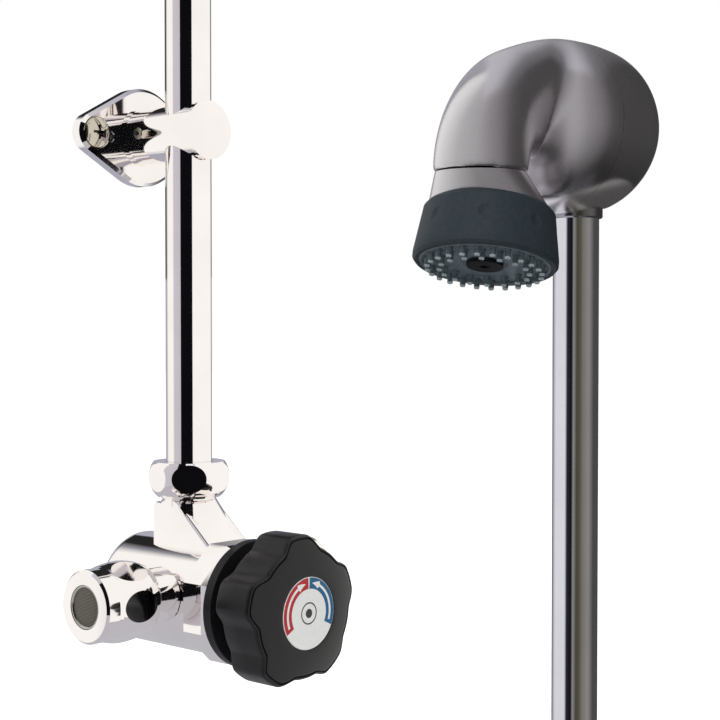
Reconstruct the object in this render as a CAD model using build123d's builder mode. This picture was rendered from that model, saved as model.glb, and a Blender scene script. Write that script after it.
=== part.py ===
from build123d import *
import math
import os

# Timed shower valve set: a wall-held riser with a timed mixing push valve at its foot, and a tube with
# a shower head at its top. Millimetres, Z up, the wall is the plane Y = 0 and the room is on -Y.
# The origin is the middle of the bracket plate's wall face.

# Driving dimensions shared by several pieces
wall_to_tube = 28.0
bracket_above_knob = 160.0
tube_r = 8.0
tube_wall = 1.5
lower_tube_top = 60.0
upper_tube_bottom = -220.0
push_travel = 5.5

# Named clearances, all radial unless the name says otherwise
run_gap = 0.08
piston_gap = 0.1
thread_gap = 0.05
tube_gap = 0.05
seat_gap = 0.03
wall_gap = 0.2

# Valve body, along the knob axis (f is the distance out from the riser axis)
barrel_r = 19.3
barrel_rear = wall_gap - wall_to_tube
barrel_front = 19.0
octagon_af = 39.5
body_front = 30.5
octagon_edge = 3.0
cartridge_bore_r = 12.6
cartridge_rear = -21.0

# Outlet tower and nut, along the riser axis (heights are above the knob axis)
tower_half = tube_r + 1.2
tower_rear = -8.2
tower_edge_r = 1.4
tower_neck_r = tube_r + 1.3
socket_floor = 27.0
spigot_top = 42.0
spigot_bottom = spigot_top - 7.5
outlet_thread_r = tube_r + 2.2
riser_nut_bottom = spigot_bottom - 0.8
riser_nut_top = spigot_top + 4.0
riser_nut_af = 2 * outlet_thread_r + 5.0

# Inlets, along X (d is the distance out from the middle plane)
inlet_out = 8.0
inlet_up = 3.0
inlet_neck_r = 6.2
inlet_collar_r = 9.1
inlet_thread_r = 10.0
inlet_bore_r = 7.2
mesh_pitch = 1.3
check_bore_r = 7.4
inlet_nut_af = 2 * inlet_thread_r + 4.6
collar_start = barrel_r + 0.2
collar_end = collar_start + 9.0
inlet_spigot_end = collar_end + 17.0
washer_seat = inlet_spigot_end + 1.5
inlet_mouth = washer_seat + 5.0

# Timed cartridge
piston_r = 7.5
stem_r = 4.0
stem_flat = stem_r - 0.9
sleeve_bore_r = piston_r + piston_gap
sleeve_out_r = sleeve_bore_r + 1.92
sleeve_front = 21.0
bonnet_rear = sleeve_front + 1.0
seat_face = 0.0
piston_front = seat_face - 1.0
piston_rear = piston_front - 6.0
spring_floor = cartridge_rear + 2.0
flange_r = 17.5
flange_front = body_front + 2.0
nose_r = stem_r + 5.0
nose_front = flange_front + 6.5

# Knob
collar_r = 21.5
collar_front = flange_front + 1.5
skirt_rear = collar_front + push_travel + 0.5
skirt_front = skirt_rear + 14.0
knob_base_r = 22.2
lobe_rise = 3.0
lobe_tip_r = knob_base_r + lobe_rise
lobe_width = 7.5
lobe_count = 5
first_lobe = 20.0
knob_hollow_r = knob_base_r - 3.6
knob_floor = skirt_rear + 6.5
stem_front = skirt_rear + 12.0
screw_seat = stem_front + 2.0
label_front = skirt_front + 3.6
label_r = 11.8
knob_screw_r = 1.5
label_t = 0.6

# Wall bracket
plate_t = 5.0
plate_disc_r = 17.3
plate_end_r = 6.9
plate_hole_x = 21.4
post_r = tube_r + 1.6
post_front = wall_to_tube + post_r
post_foot = 1.5
stud_r = 6.5
stud_length = wall_to_tube - tube_r - plate_t - 3.0
set_screw_out = plate_t + 7.5
set_screw_r = 2.0
wall_screw_r = 2.0
wall_screw_neck_r = wall_screw_r - 0.2
wall_screw_reach = 4.5
wall_screw_head_r = 5.2
countersink_depth = 3.3

# Shower head (h is forward of the ball centre, u is back along the spray axis from the face)
ball = Vector(92.1, -126.7, 0.9)
seam_h = 16.0
shell_t = 2.2
ring_top = -24.0
tube_top = ring_top + 10.0
ring_out_r = tube_r + 1.2
ring_drop = ring_top - 6.6
rear_flat_r = 14.5
ring_top_u = 18.7
plate_r = 21.6
seal_back_u = 5.2
seal_t = 1.8
plate_back_u = seal_back_u - seal_t
plate_thick = 2.8
plate_face_u = plate_back_u - plate_thick
grip_r = plate_r + 2.1
dimple_r = 5.6
face_screw_r = 3.0
duct_r = 6.0
socket_r = tube_r + 1.6
socket_depth = 12.6
skirt_r = 20.2
spigot_r = plate_r - 4.0
neck_step = 0.5

# Outline of the ball, turned on its front-to-back axis: forward and radius, from nose to wall flat
ball_rows = [(30.8, 0), (29.0, 16.5), (26, 23.0), (22, 27.0), (17, 29.0), (11, 29.6), (5, 29.6), (0, 29.3),
             (-6, 28.4), (-12, 25.8), (-18, 21.9), (-22, 18.4), (-26, rear_flat_r)]

# Sections of the hood, from inside the ball to the neck over the spray ring. Each row is forward, up,
# half height, half width, tilt, and how much wider the upper half is than the lower.
hood_rows = [(-2.0, 8.15, 22.15, 17.0, 0.0, 0.10), (9.0, 8.65, 21.67, 14.6, 2.6, 0.15),
             (24.25, 7.8, 19.93, 12.6, 6.5, 0.30), (36.5, 5.55, 18.17, 12.6, 24.4, 0.28),
             (46.55, -0.2, 17.09, 13.7, 47.25, 0.18), (52.55, -8.4, 16.24, 14.8, 67.9, 0.06),
             (55.15, -18.6, 15.25, 15.3, 89.25, 0.0)]
face_forward = hood_rows[-1][0] - 2.45
face_down = 29.6 - hood_rows[-1][1]
spray_tilt_forward = math.tan(math.radians(15.0))
spray_tilt_side = math.tan(math.radians(5.5))

axis_y = -wall_to_tube
knob_z = -bracket_above_knob
knob_origin = Vector(0, axis_y, knob_z)
spray_dir = Vector(-spray_tilt_forward, -spray_tilt_side, -1).normalized()
face_centre = ball + Vector(-face_forward, 0, -face_down)

os.makedirs("parts", exist_ok=True)


def across_knob(f):
    """Plane square to the knob axis, f out from the riser axis: local x is +X, local y is up."""
    return Plane(origin=(0, axis_y - f, knob_z), x_dir=(1, 0, 0), z_dir=(0, -1, 0))


def along_knob():
    """Plane through the knob axis: local x is the radius, local y is the distance out."""
    return Plane(origin=knob_origin, x_dir=(1, 0, 0), z_dir=(0, 0, -1))


def across_riser(z):
    """Level plane on the riser axis, z above the knob axis."""
    return Plane(origin=(0, axis_y, knob_z + z))


def along_riser():
    """Plane through the riser axis: local x is the radius, local y is the height above the knob axis."""
    return Plane(origin=knob_origin, x_dir=(1, 0, 0), z_dir=(0, -1, 0))


def inlet_point(side, d):
    return Vector(side * d, axis_y - inlet_out, knob_z + inlet_up)


def across_inlet(side, d):
    """Plane square to an inlet axis, d out from the middle plane: local x points to the room."""
    return Plane(origin=inlet_point(side, d), x_dir=(0, -1, 0), z_dir=(side, 0, 0))


def along_inlet(side):
    """Plane through an inlet axis: local x is the distance out, local y is the radius."""
    return Plane(origin=inlet_point(side, 0), x_dir=(side, 0, 0), z_dir=(0, -side, 0))


def along_ball():
    """Plane through the ball's front-to-back axis: local x is forward, local y is the radius."""
    return Plane(origin=ball, x_dir=(-1, 0, 0), z_dir=(0, 1, 0))


def hood_section(h, z, tilt):
    """Plane of one hood section: its normal turns from forward to down by the tilt in degrees."""
    turn = math.radians(tilt)
    normal = (-math.cos(turn), 0, -math.sin(turn))
    return Plane(origin=ball + Vector(-h, 0, z), x_dir=(0, -1, 0), z_dir=normal)


def oval(half_width, half_height, egg=0.0):
    """Closed smooth oval through twelve points, its upper half wider than its lower by the egg share."""
    turns = [math.radians(30 * k) for k in range(12)]
    Spline(*[(half_width * math.cos(a) * (1 + egg * math.sin(a)), half_height * math.sin(a)) for a in turns],
           periodic=True)


def across_spray(u):
    """Plane square to the spray axis, u back from the face, facing the way the water leaves."""
    return Plane(origin=face_centre - spray_dir * u, x_dir=(-1, 0, 0), z_dir=spray_dir)


def along_spray():
    """Plane through the spray axis: local x is the radius, local y is the distance back from the face."""
    radial = across_spray(0).x_dir
    return Plane(origin=face_centre, x_dir=radial, z_dir=radial.cross(spray_dir * -1))


def dome_rise(r, rim_r, rise):
    """Height over its rim of a spherical dome with the given rim radius and rise, at radius r."""
    sphere_r = (rim_r ** 2 + rise ** 2) / (2 * rise)
    return rise - sphere_r + math.sqrt(sphere_r ** 2 - r ** 2)


knob_axis = Axis(knob_origin, (0, -1, 0))
riser_axis = Axis((0, axis_y, 0), (0, 0, 1))
ball_axis = Axis(ball, (-1, 0, 0))
spray_axis = Axis(face_centre, spray_dir * -1)


# Neck of the outlet tower: a cone under the riser nut, cut flat to the tower's width and its back
with BuildPart() as tower_neck:
    with BuildSketch(along_riser()):
        with BuildLine():
            neck_foot = (17.2, 20)
            neck_head = (tower_neck_r, spigot_bottom - 1.5)
            Polyline(neck_head, (tower_neck_r, spigot_bottom), (0, spigot_bottom), (0, 16), (19, 16), neck_foot,
                     close=True)
        make_face()
    revolve(axis=riser_axis)
    with BuildSketch(across_riser(0)):
        with Locations((0, -tower_rear / 2 - 15)):
            Rectangle(2 * tower_half - 0.1, 30 - tower_rear - 0.1)
    extrude(amount=60, mode=Mode.INTERSECT)

# Flat-sided tower over the barrel: upright at the back, sloping down to the octagon in front
with BuildPart() as tower:
    with BuildSketch(Plane(origin=(-tower_half, axis_y, knob_z), x_dir=(0, -1, 0), z_dir=(1, 0, 0))):
        with BuildLine():
            Polyline((tower_rear, -8), (tower_rear, -32), (4.8, -32), (barrel_front + 0.4, -19.7),
                     (barrel_front + 0.4, -8), close=True)
        make_face()
    extrude(amount=2 * tower_half)
    outer = tower.edges().filter_by(lambda e: abs(abs(e.center().X) - tower_half) < 0.01)
    upper = outer.filter_by(lambda e: e.center().Z > knob_z + 21)
    back_top = tower.edges().filter_by(Axis.X).group_by(Axis.Z)[-1].sort_by(Axis.Y)[-1]
    fillet([*upper, back_top], radius=tower_edge_r)

# Valve body: barrel with a rounded back, octagonal front, flat-sided tower and two side inlets
with BuildPart() as valve_body:
    with BuildSketch(across_knob(barrel_rear)):
        Circle(barrel_r)
    extrude(amount=barrel_front - barrel_rear)
    fillet(valve_body.faces().sort_by(Axis.Y)[-1].edges(), radius=5)
    for start, end, lean in ((barrel_front, body_front - octagon_edge, 0), (body_front - octagon_edge, body_front, 22)):
        with BuildSketch(across_knob(start)):
            RegularPolygon(radius=octagon_af / 2, side_count=8, major_radius=False, rotation=22.5)
        extrude(amount=end - start, taper=lean)
    add(tower.part)
    add(tower_neck.part)
    with BuildSketch(across_riser(socket_floor)):
        Circle(tower_neck_r)
    extrude(amount=spigot_bottom - socket_floor)
    with BuildSketch(across_riser(spigot_bottom)):
        Circle(outlet_thread_r)
    extrude(amount=spigot_top - spigot_bottom)
    # the body is relieved round each inlet, so that the neck stands in a shallow ring
    for side in (-1, 1):
        with BuildSketch(across_inlet(side, barrel_r - 2.7)):
            Circle(8.7)
        extrude(amount=6, mode=Mode.SUBTRACT)
    for side in (-1, 1):
        with BuildSketch(across_inlet(side, cartridge_bore_r + 1.4)):
            Circle(inlet_neck_r)
        extrude(amount=collar_start - cartridge_bore_r - 1.4)
        with BuildSketch(across_inlet(side, collar_start)):
            Circle(inlet_collar_r)
        extrude(amount=collar_end - collar_start)
        with BuildSketch(across_inlet(side, collar_end)):
            Circle(inlet_thread_r)
        extrude(amount=inlet_spigot_end - collar_end)
    # bores: cartridge, outlet, tube socket with its coned mouth, inlet passages and seats
    with BuildSketch(across_knob(cartridge_rear)):
        Circle(cartridge_bore_r)
    extrude(amount=body_front - cartridge_rear, mode=Mode.SUBTRACT)
    with BuildSketch(across_riser(0)):
        Circle(6)
    extrude(amount=socket_floor, mode=Mode.SUBTRACT)
    with BuildSketch(along_riser()):
        with BuildLine():
            mouth = tube_r + tube_gap
            Polyline((0, socket_floor), (mouth, socket_floor), (mouth, spigot_top - 1.2), (mouth + 1.2, spigot_top),
                     (0, spigot_top), close=True)
        make_face()
    revolve(axis=riser_axis, mode=Mode.SUBTRACT)
    for side in (-1, 1):
        with BuildSketch(across_inlet(side, 10)):
            Circle(4.0)
        extrude(amount=collar_end - 6.5, mode=Mode.SUBTRACT)
        with BuildSketch(across_inlet(side, collar_end + 1.5)):
            Circle(check_bore_r)
        extrude(amount=inlet_spigot_end - collar_end - 1.5, mode=Mode.SUBTRACT)
valve_body.part.label = "valve_body"
export_step(valve_body.part, "parts/valve_body.step")

# Riser nut: turned barrel shape with six flats, a coned seat inside for the compression ring
with BuildPart() as riser_nut:
    with BuildSketch(along_riser()):
        with BuildLine():
            bore = outlet_thread_r + thread_gap
            hole = tube_r + 0.15
            nut_foot = (outlet_thread_r + 1.6, riser_nut_bottom + 0.9)
            nut_head = (outlet_thread_r + 2.7, riser_nut_top - 0.8)
            Polyline(nut_head, (outlet_thread_r + 2.2, riser_nut_top), (hole, riser_nut_top),
                     (hole, spigot_top + 1.95), (outlet_thread_r - 0.2, spigot_top + 0.1),
                     (bore, spigot_top + 0.1), (bore, riser_nut_bottom),
                     (outlet_thread_r + 0.7, riser_nut_bottom), nut_foot)
            ThreePointArc(nut_foot, (outlet_thread_r + 3.8, spigot_top - 2.0), nut_head)
        make_face()
    revolve(axis=riser_axis)
    with BuildSketch(across_riser(riser_nut_bottom - 1)):
        RegularPolygon(radius=riser_nut_af / 2, side_count=6, major_radius=False, rotation=18)
    extrude(amount=riser_nut_top - riser_nut_bottom + 2, mode=Mode.INTERSECT)
riser_nut.part.label = "riser_nut"
export_step(riser_nut.part, "parts/riser_nut.step")

# Compression ring, squeezed between the spigot's coned mouth and the nut
with BuildPart() as riser_olive:
    with BuildSketch(along_riser()):
        with BuildLine():
            Polyline((tube_r, spigot_top - 0.75), (tube_r + 0.5, spigot_top - 0.75), (tube_r + 1.25, spigot_top),
                     (tube_r + 1.25, spigot_top + 0.8), (tube_r + 0.45, spigot_top + 1.6),
                     (tube_r, spigot_top + 1.6), close=True)
        make_face()
    revolve(axis=riser_axis)
riser_olive.part.label = "riser_olive"
export_step(riser_olive.part, "parts/riser_olive.step")

# Riser tube: from the floor of the spigot up through the bracket to its free end
with BuildPart() as riser_tube:
    with BuildSketch(across_riser(socket_floor)):
        Circle(tube_r)
        Circle(tube_r - tube_wall, mode=Mode.SUBTRACT)
    extrude(amount=lower_tube_top - knob_z - socket_floor)
    chamfer(riser_tube.edges().group_by(Axis.Z)[-1], length=0.4)
riser_tube.part.label = "riser_tube"
export_step(riser_tube.part, "parts/riser_tube.step")

# Inlet fittings, one set on each side: nut, washer, strainer and check valve
for side, name in ((-1, "left"), (1, "right")):
    with BuildPart() as inlet_nut:
        with BuildSketch(along_inlet(side)):
            with BuildLine():
                bore = inlet_thread_r + thread_gap
                nut_heel = (collar_end + 1.0, inlet_thread_r + 1.4)
                nut_toe = (inlet_spigot_end, inlet_thread_r + 2.2)
                Polyline(nut_toe, (washer_seat, inlet_thread_r + 2.0), (inlet_mouth - 0.8, inlet_thread_r + 2.0),
                         (inlet_mouth, inlet_thread_r + 1.2), (inlet_mouth, inlet_bore_r),
                         (washer_seat, inlet_bore_r), (washer_seat, bore), (collar_end + 1.0, bore), nut_heel)
                ThreePointArc(nut_heel, (collar_end + 9.0, inlet_thread_r + 3.3), nut_toe)
            make_face()
        revolve(axis=Axis(inlet_point(side, 0), (side, 0, 0)))
        with BuildSketch(across_inlet(side, collar_end)):
            RegularPolygon(radius=inlet_nut_af / 2, side_count=6, major_radius=False, rotation=30)
        extrude(amount=25, mode=Mode.INTERSECT)
    inlet_nut.part.label = f"inlet_nut_{name}"
    export_step(inlet_nut.part, f"parts/inlet_nut_{name}.step")

    with BuildPart() as inlet_washer:
        with BuildSketch(across_inlet(side, inlet_spigot_end)):
            Circle(inlet_thread_r)
            Circle(inlet_bore_r, mode=Mode.SUBTRACT)
        extrude(amount=washer_seat - inlet_spigot_end)
    inlet_washer.part.label = f"inlet_washer_{name}"
    export_step(inlet_washer.part, f"parts/inlet_washer_{name}.step")

    # strainer: a rimmed disc with fine square meshes, pressed into the nut's mouth
    with BuildPart() as inlet_strainer:
        strainer_r = inlet_bore_r - seat_gap
        with BuildSketch(across_inlet(side, inlet_mouth - 1.4)):
            Circle(strainer_r)
        extrude(amount=1.2)
        with BuildSketch(across_inlet(side, inlet_mouth - 0.5)):
            Circle(strainer_r - 0.5)
        extrude(amount=0.3, mode=Mode.SUBTRACT)
        with BuildSketch(across_inlet(side, inlet_mouth - 1.4)):
            for across in range(-5, 6):
                for up in range(-5, 6):
                    if math.hypot(across, up) * mesh_pitch < strainer_r - 1.2:
                        with Locations((across * mesh_pitch, up * mesh_pitch)):
                            Rectangle(mesh_pitch - 0.4, mesh_pitch - 0.4)
        extrude(amount=1.2, mode=Mode.SUBTRACT)
    inlet_strainer.part.label = f"inlet_strainer_{name}"
    export_step(inlet_strainer.part, f"parts/inlet_strainer_{name}.step")

    # check valve: a sleeve with three arms that guide its poppet
    with BuildPart() as check_valve:
        valve_start = collar_end + 1.5
        with BuildSketch(across_inlet(side, valve_start)):
            Circle(check_bore_r - seat_gap)
            Circle(check_bore_r - 1.8, mode=Mode.SUBTRACT)
        extrude(amount=14.4)
        with BuildSketch(across_inlet(side, valve_start + 3.0)):
            with PolarLocations(check_bore_r - 4.2, 3):
                Rectangle(5.4, 1.4)
            Circle(1.8)
        extrude(amount=3.0)
        with BuildSketch(across_inlet(side, valve_start + 6.0)):
            Circle(1.2)
        extrude(amount=4.0)
        with BuildSketch(across_inlet(side, valve_start + 10.0)):
            Circle(check_bore_r - 3.0)
        extrude(amount=1.6)
    check_valve.part.label = f"check_valve_{name}"
    export_step(check_valve.part, f"parts/check_valve_{name}.step")

# Timed cartridge housing: rear chamber for the piston, seat wall, front chamber for the sleeve
with BuildPart() as cartridge_housing:
    with BuildSketch(across_knob(cartridge_rear)):
        Circle(cartridge_bore_r - seat_gap)
    extrude(amount=bonnet_rear - cartridge_rear)
    with BuildSketch(across_knob(spring_floor)):
        Circle(sleeve_bore_r)
    extrude(amount=seat_face - spring_floor, mode=Mode.SUBTRACT)
    with BuildSketch(across_knob(seat_face)):
        Circle(stem_r + 1.4)
    extrude(amount=1.5, mode=Mode.SUBTRACT)
    with BuildSketch(across_knob(seat_face + 1.5)):
        Circle(sleeve_out_r + run_gap)
    extrude(amount=bonnet_rear, mode=Mode.SUBTRACT)
    for side in (-1, 1):
        with BuildSketch(across_inlet(side, 6)):
            Circle(3.5)
        extrude(amount=10, mode=Mode.SUBTRACT)
    with BuildSketch(Plane(origin=(0, axis_y + 4.2, knob_z))):
        Circle(3.4)
    extrude(amount=16, mode=Mode.SUBTRACT)
cartridge_housing.part.label = "cartridge_housing"
export_step(cartridge_housing.part, "parts/cartridge_housing.step")

# Mixing sleeve, turned by the knob: two side slots pass hot and cold, a keyed disc takes the stem
with BuildPart() as mixing_sleeve:
    with BuildSketch(across_knob(seat_face + 1.8)):
        Circle(sleeve_out_r)
        Circle(sleeve_bore_r, mode=Mode.SUBTRACT)
    extrude(amount=sleeve_front - seat_face - 1.8)
    with BuildSketch(across_knob(sleeve_front - 4)):
        Circle(sleeve_bore_r)
    extrude(amount=4)
    with BuildSketch(across_knob(sleeve_front - 4)):
        Circle(stem_r + run_gap)
        Rectangle(2 * (stem_flat + run_gap), 4 * stem_r, mode=Mode.INTERSECT)
    extrude(amount=4, mode=Mode.SUBTRACT)
    for side in (-1, 1):
        with BuildSketch(Plane(origin=(side * 5, axis_y - inlet_out, knob_z + side * 5.5), x_dir=(0, -1, 0),
                               z_dir=(side, 0, 0))):
            Rectangle(7.0, 9.0)
        extrude(amount=8, mode=Mode.SUBTRACT)
mixing_sleeve.part.label = "mixing_sleeve"
export_step(mixing_sleeve.part, "parts/mixing_sleeve.step")

# Stem: from the piston through sleeve and bonnet to the knob, flatted where the sleeve turns with it
with BuildPart() as push_stem:
    with BuildSketch(across_knob(piston_front)):
        Circle(stem_r)
    extrude(amount=stem_front - piston_front)
    with BuildSketch(across_knob(sleeve_front - 7)):
        Circle(stem_r)
        Rectangle(2 * stem_flat, 4 * stem_r, mode=Mode.SUBTRACT)
    extrude(amount=14, mode=Mode.SUBTRACT)
    with BuildSketch(across_knob(stem_front - 8.5)):
        Circle(knob_screw_r + seat_gap)
    extrude(amount=10, mode=Mode.SUBTRACT)
push_stem.part.label = "push_stem"
export_step(push_stem.part, "parts/push_stem.step")

# Piston with its seal against the seat wall
with BuildPart() as piston:
    with BuildSketch(across_knob(piston_rear)):
        Circle(piston_r)
    extrude(amount=piston_front - piston_rear)
    with BuildSketch(across_knob(piston_rear)):
        Circle(piston_r - 3.9)
    extrude(amount=2, mode=Mode.SUBTRACT)
piston.part.label = "piston"
export_step(piston.part, "parts/piston.step")

with BuildPart() as piston_seal:
    with BuildSketch(across_knob(piston_front)):
        Circle(piston_r - 0.6)
        Circle(stem_r + seat_gap, mode=Mode.SUBTRACT)
    extrude(amount=seat_face - piston_front)
piston_seal.part.label = "piston_seal"
export_step(piston_seal.part, "parts/piston_seal.step")

# Return spring behind the piston, four open turns of round wire
spring_wire_r = 0.5
spring_mean_r = piston_r - 1.6
spring_turns = 4.0
spring_length = piston_rear - spring_floor - 2 * spring_wire_r
with BuildPart() as return_spring:
    start = Plane(origin=(0, axis_y - spring_floor - spring_wire_r, knob_z), x_dir=(1, 0, 0), z_dir=(0, -1, 0))
    coil = start * Helix(pitch=spring_length / spring_turns, height=spring_length, radius=spring_mean_r)
    with BuildSketch(Plane(origin=coil @ 0, z_dir=coil % 0)):
        Circle(spring_wire_r)
    sweep(path=coil, is_frenet=True)
return_spring.part.label = "return_spring"
export_step(return_spring.part, "parts/return_spring.step")

# Bonnet: screws into the body over the cartridge and guides the stem in its nose
with BuildPart() as cartridge_bonnet:
    with BuildSketch(along_knob()):
        with BuildLine():
            slide = stem_r + run_gap
            groove_rear = flange_front + 0.4
            Polyline((slide, bonnet_rear), (cartridge_bore_r - thread_gap, bonnet_rear),
                     (cartridge_bore_r - thread_gap, body_front), (flange_r, body_front), (flange_r, flange_front),
                     (nose_r, flange_front), (nose_r, nose_front - 1), (nose_r - 1, nose_front),
                     (slide, nose_front), (slide, groove_rear + 2.2), (stem_r + 2.1, groove_rear + 2.2),
                     (stem_r + 2.1, groove_rear), (slide, groove_rear), close=True)
        make_face()
    revolve(axis=knob_axis)
cartridge_bonnet.part.label = "cartridge_bonnet"
export_step(cartridge_bonnet.part, "parts/cartridge_bonnet.step")

# Stem seal ring in the bonnet's groove
with BuildPart() as stem_seal:
    with BuildSketch(along_knob()):
        with Locations((stem_r + 1.08, flange_front + 1.5)):
            Circle(0.98)
    revolve(axis=knob_axis)
stem_seal.part.label = "stem_seal"
export_step(stem_seal.part, "parts/stem_seal.step")

# Dark collar over the bonnet's flange, the stop that the knob's skirt comes down to
with BuildPart() as knob_collar:
    with BuildSketch(across_knob(body_front)):
        Circle(collar_r)
        Circle(flange_r + tube_gap, mode=Mode.SUBTRACT)
    extrude(amount=flange_front - body_front)
    with BuildSketch(across_knob(flange_front)):
        Circle(collar_r)
        Circle(nose_r + tube_gap, mode=Mode.SUBTRACT)
    extrude(amount=collar_front - flange_front)
knob_collar.part.label = "knob_collar"
export_step(knob_collar.part, "parts/knob_collar.step")

# Knob: round skirt with raised grip lobes, domed front with a recess for the label, hollow behind.
# Its outline and its dome are each one piece: the lobed prism is cut by the domed turning.
with BuildPart() as knob:
    with BuildSketch(across_knob(skirt_rear)) as knob_outline:
        Circle(knob_base_r)
        with PolarLocations(knob_base_r + lobe_rise - 3, lobe_count, start_angle=first_lobe):
            Trapezoid(lobe_width + 6.9, 6, 60, rotation=-90)
        feet = [v for v in knob_outline.vertices() if abs(math.hypot(v.X, v.Y) - knob_base_r) < 0.1]
        fillet(feet, radius=3.0)
        tips = [v for v in knob_outline.vertices() if math.hypot(v.X, v.Y) > lobe_tip_r - 0.1]
        fillet(tips, radius=1.2)
    extrude(amount=label_front - skirt_rear + 2)
    with BuildSketch(along_knob()):
        with BuildLine():
            edge = (lobe_tip_r + 0.2, skirt_front + 0.3)
            rim = (label_r + 1.2, label_front)
            Polyline(rim, (0, label_front), (0, skirt_rear), (lobe_tip_r + 0.6, skirt_rear), edge)
            ThreePointArc(edge, ((edge[0] + rim[0]) / 2, (edge[1] + rim[1]) / 2 + 0.4), rim)
        make_face()
    revolve(axis=knob_axis, mode=Mode.INTERSECT)
    with BuildSketch(across_knob(skirt_rear)):
        Circle(knob_hollow_r)
        Circle(stem_r + 3.5, mode=Mode.SUBTRACT)
    extrude(amount=knob_floor + 4 - skirt_rear, mode=Mode.SUBTRACT)
    with BuildSketch(across_knob(skirt_rear)):
        Circle(knob_hollow_r)
    extrude(amount=knob_floor - skirt_rear, mode=Mode.SUBTRACT)
    with BuildSketch(across_knob(skirt_rear)):
        Circle(stem_r + seat_gap)
    extrude(amount=stem_front - skirt_rear, mode=Mode.SUBTRACT)
    with BuildSketch(across_knob(stem_front)):
        Circle(knob_screw_r + 0.2)
    extrude(amount=screw_seat - stem_front, mode=Mode.SUBTRACT)
    with BuildSketch(across_knob(screw_seat)):
        Circle(knob_screw_r + 2.3)
    extrude(amount=label_front - screw_seat, mode=Mode.SUBTRACT)
    with BuildSketch(across_knob(label_front - label_t)):
        Circle(label_r + 0.1)
    extrude(amount=2, mode=Mode.SUBTRACT)
knob.part.label = "knob"
export_step(knob.part, "parts/knob.step")

# Label disc in the knob's face, over the screw
with BuildPart() as knob_label:
    with BuildSketch(across_knob(label_front - label_t)):
        Circle(label_r)
    extrude(amount=label_t)
knob_label.part.label = "knob_label"
export_step(knob_label.part, "parts/knob_label.step")

# Screw that holds the knob on the stem
with BuildPart() as knob_screw:
    with BuildSketch(across_knob(screw_seat - 10)):
        Circle(knob_screw_r)
    extrude(amount=10)
    with BuildSketch(across_knob(screw_seat)):
        Circle(knob_screw_r + 1.7)
    extrude(amount=2.4)
    with BuildSketch(across_knob(screw_seat + 1.2)):
        Rectangle(4.0, 0.8)
        Rectangle(0.8, 4.0)
    extrude(amount=2, mode=Mode.SUBTRACT)
knob_screw.part.label = "knob_screw"
export_step(knob_screw.part, "parts/knob_screw.step")

# Wall bracket plate: a disc run out to two rounded ends, bevelled all round, with a stud for the post
with BuildPart() as bracket_plate:
    with BuildSketch(Plane(origin=(0, 0, 0), x_dir=(1, 0, 0), z_dir=(0, -1, 0))):
        Circle(plate_disc_r)
        with Locations((-plate_hole_x, 0), (plate_hole_x, 0)):
            Circle(plate_end_r)
        make_hull()
    extrude(amount=plate_t)
    chamfer(bracket_plate.faces().sort_by(Axis.Y)[0].edges(), length=1.2)
    with BuildSketch(Plane(origin=(0, -plate_t, 0), x_dir=(1, 0, 0), z_dir=(0, -1, 0))):
        Circle(stud_r)
    extrude(amount=stud_length)
    for x in (-plate_hole_x, plate_hole_x):
        with BuildSketch(Plane(origin=(x, -plate_t, 0), x_dir=(1, 0, 0), z_dir=(0, 1, 0))):
            Circle(wall_screw_head_r + 0.4)
        extrude(amount=countersink_depth, taper=45, mode=Mode.SUBTRACT)
        with BuildSketch(Plane(origin=(x, -plate_t, 0), x_dir=(1, 0, 0), z_dir=(0, 1, 0))):
            Circle(wall_screw_r + 0.35)
        extrude(amount=plate_t, mode=Mode.SUBTRACT)
bracket_plate.part.label = "bracket_plate"
export_step(bracket_plate.part, "parts/bracket_plate.step")

# Bracket post: slips over the stud, the riser runs through its cross bore
with BuildPart() as bracket_post:
    post_base = plate_t
    with BuildSketch(Plane(origin=(0, -post_base, 0), x_dir=(1, 0, 0), z_dir=(0, -1, 0))):
        Circle(post_r + 0.6)
    extrude(amount=post_foot)
    with BuildSketch(Plane(origin=(0, -post_base - post_foot, 0), x_dir=(1, 0, 0), z_dir=(0, -1, 0))):
        Circle(post_r)
    extrude(amount=post_front - post_base - post_foot)
    with BuildSketch(Plane(origin=(0, -post_base, 0), x_dir=(1, 0, 0), z_dir=(0, -1, 0))):
        Circle(stud_r + tube_gap)
    extrude(amount=stud_length + 0.3, mode=Mode.SUBTRACT)
    with BuildSketch(Plane(origin=(0, axis_y, -post_r - 2))):
        Circle(tube_r + tube_gap)
    extrude(amount=2 * post_r + 4, mode=Mode.SUBTRACT)
    with BuildSketch(Plane(origin=(0, axis_y - tube_r - 0.5, 0), x_dir=(1, 0, 0), z_dir=(0, -1, 0))):
        Circle(3.05)
    extrude(amount=3, mode=Mode.SUBTRACT)
    with BuildSketch(Plane(origin=(0, -set_screw_out, 0), x_dir=(0, 1, 0), z_dir=(-1, 0, 0))):
        Circle(set_screw_r + thread_gap)
    extrude(amount=post_r + 2, mode=Mode.SUBTRACT)
bracket_post.part.label = "bracket_post"
export_step(bracket_post.part, "parts/bracket_post.step")

# Domed cap on the end of the post
with BuildPart() as bracket_end_cap:
    rim = post_front + 1.2
    cap_r = post_r + 0.4
    with BuildSketch(Plane(origin=(0, 0, 0), x_dir=(1, 0, 0), z_dir=(0, 0, -1))):
        with BuildLine():
            Polyline((0, rim + 1.6), (0, post_front - 1.0), (3.0, post_front - 1.0), (3.0, post_front),
                     (cap_r, post_front), (cap_r, rim))
            ThreePointArc((cap_r, rim), (6.0, rim + dome_rise(6.0, cap_r, 1.6)), (0, rim + 1.6))
        make_face()
    revolve(axis=Axis((0, 0, 0), (0, -1, 0)))
bracket_end_cap.part.label = "bracket_end_cap"
export_step(bracket_end_cap.part, "parts/bracket_end_cap.step")

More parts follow.
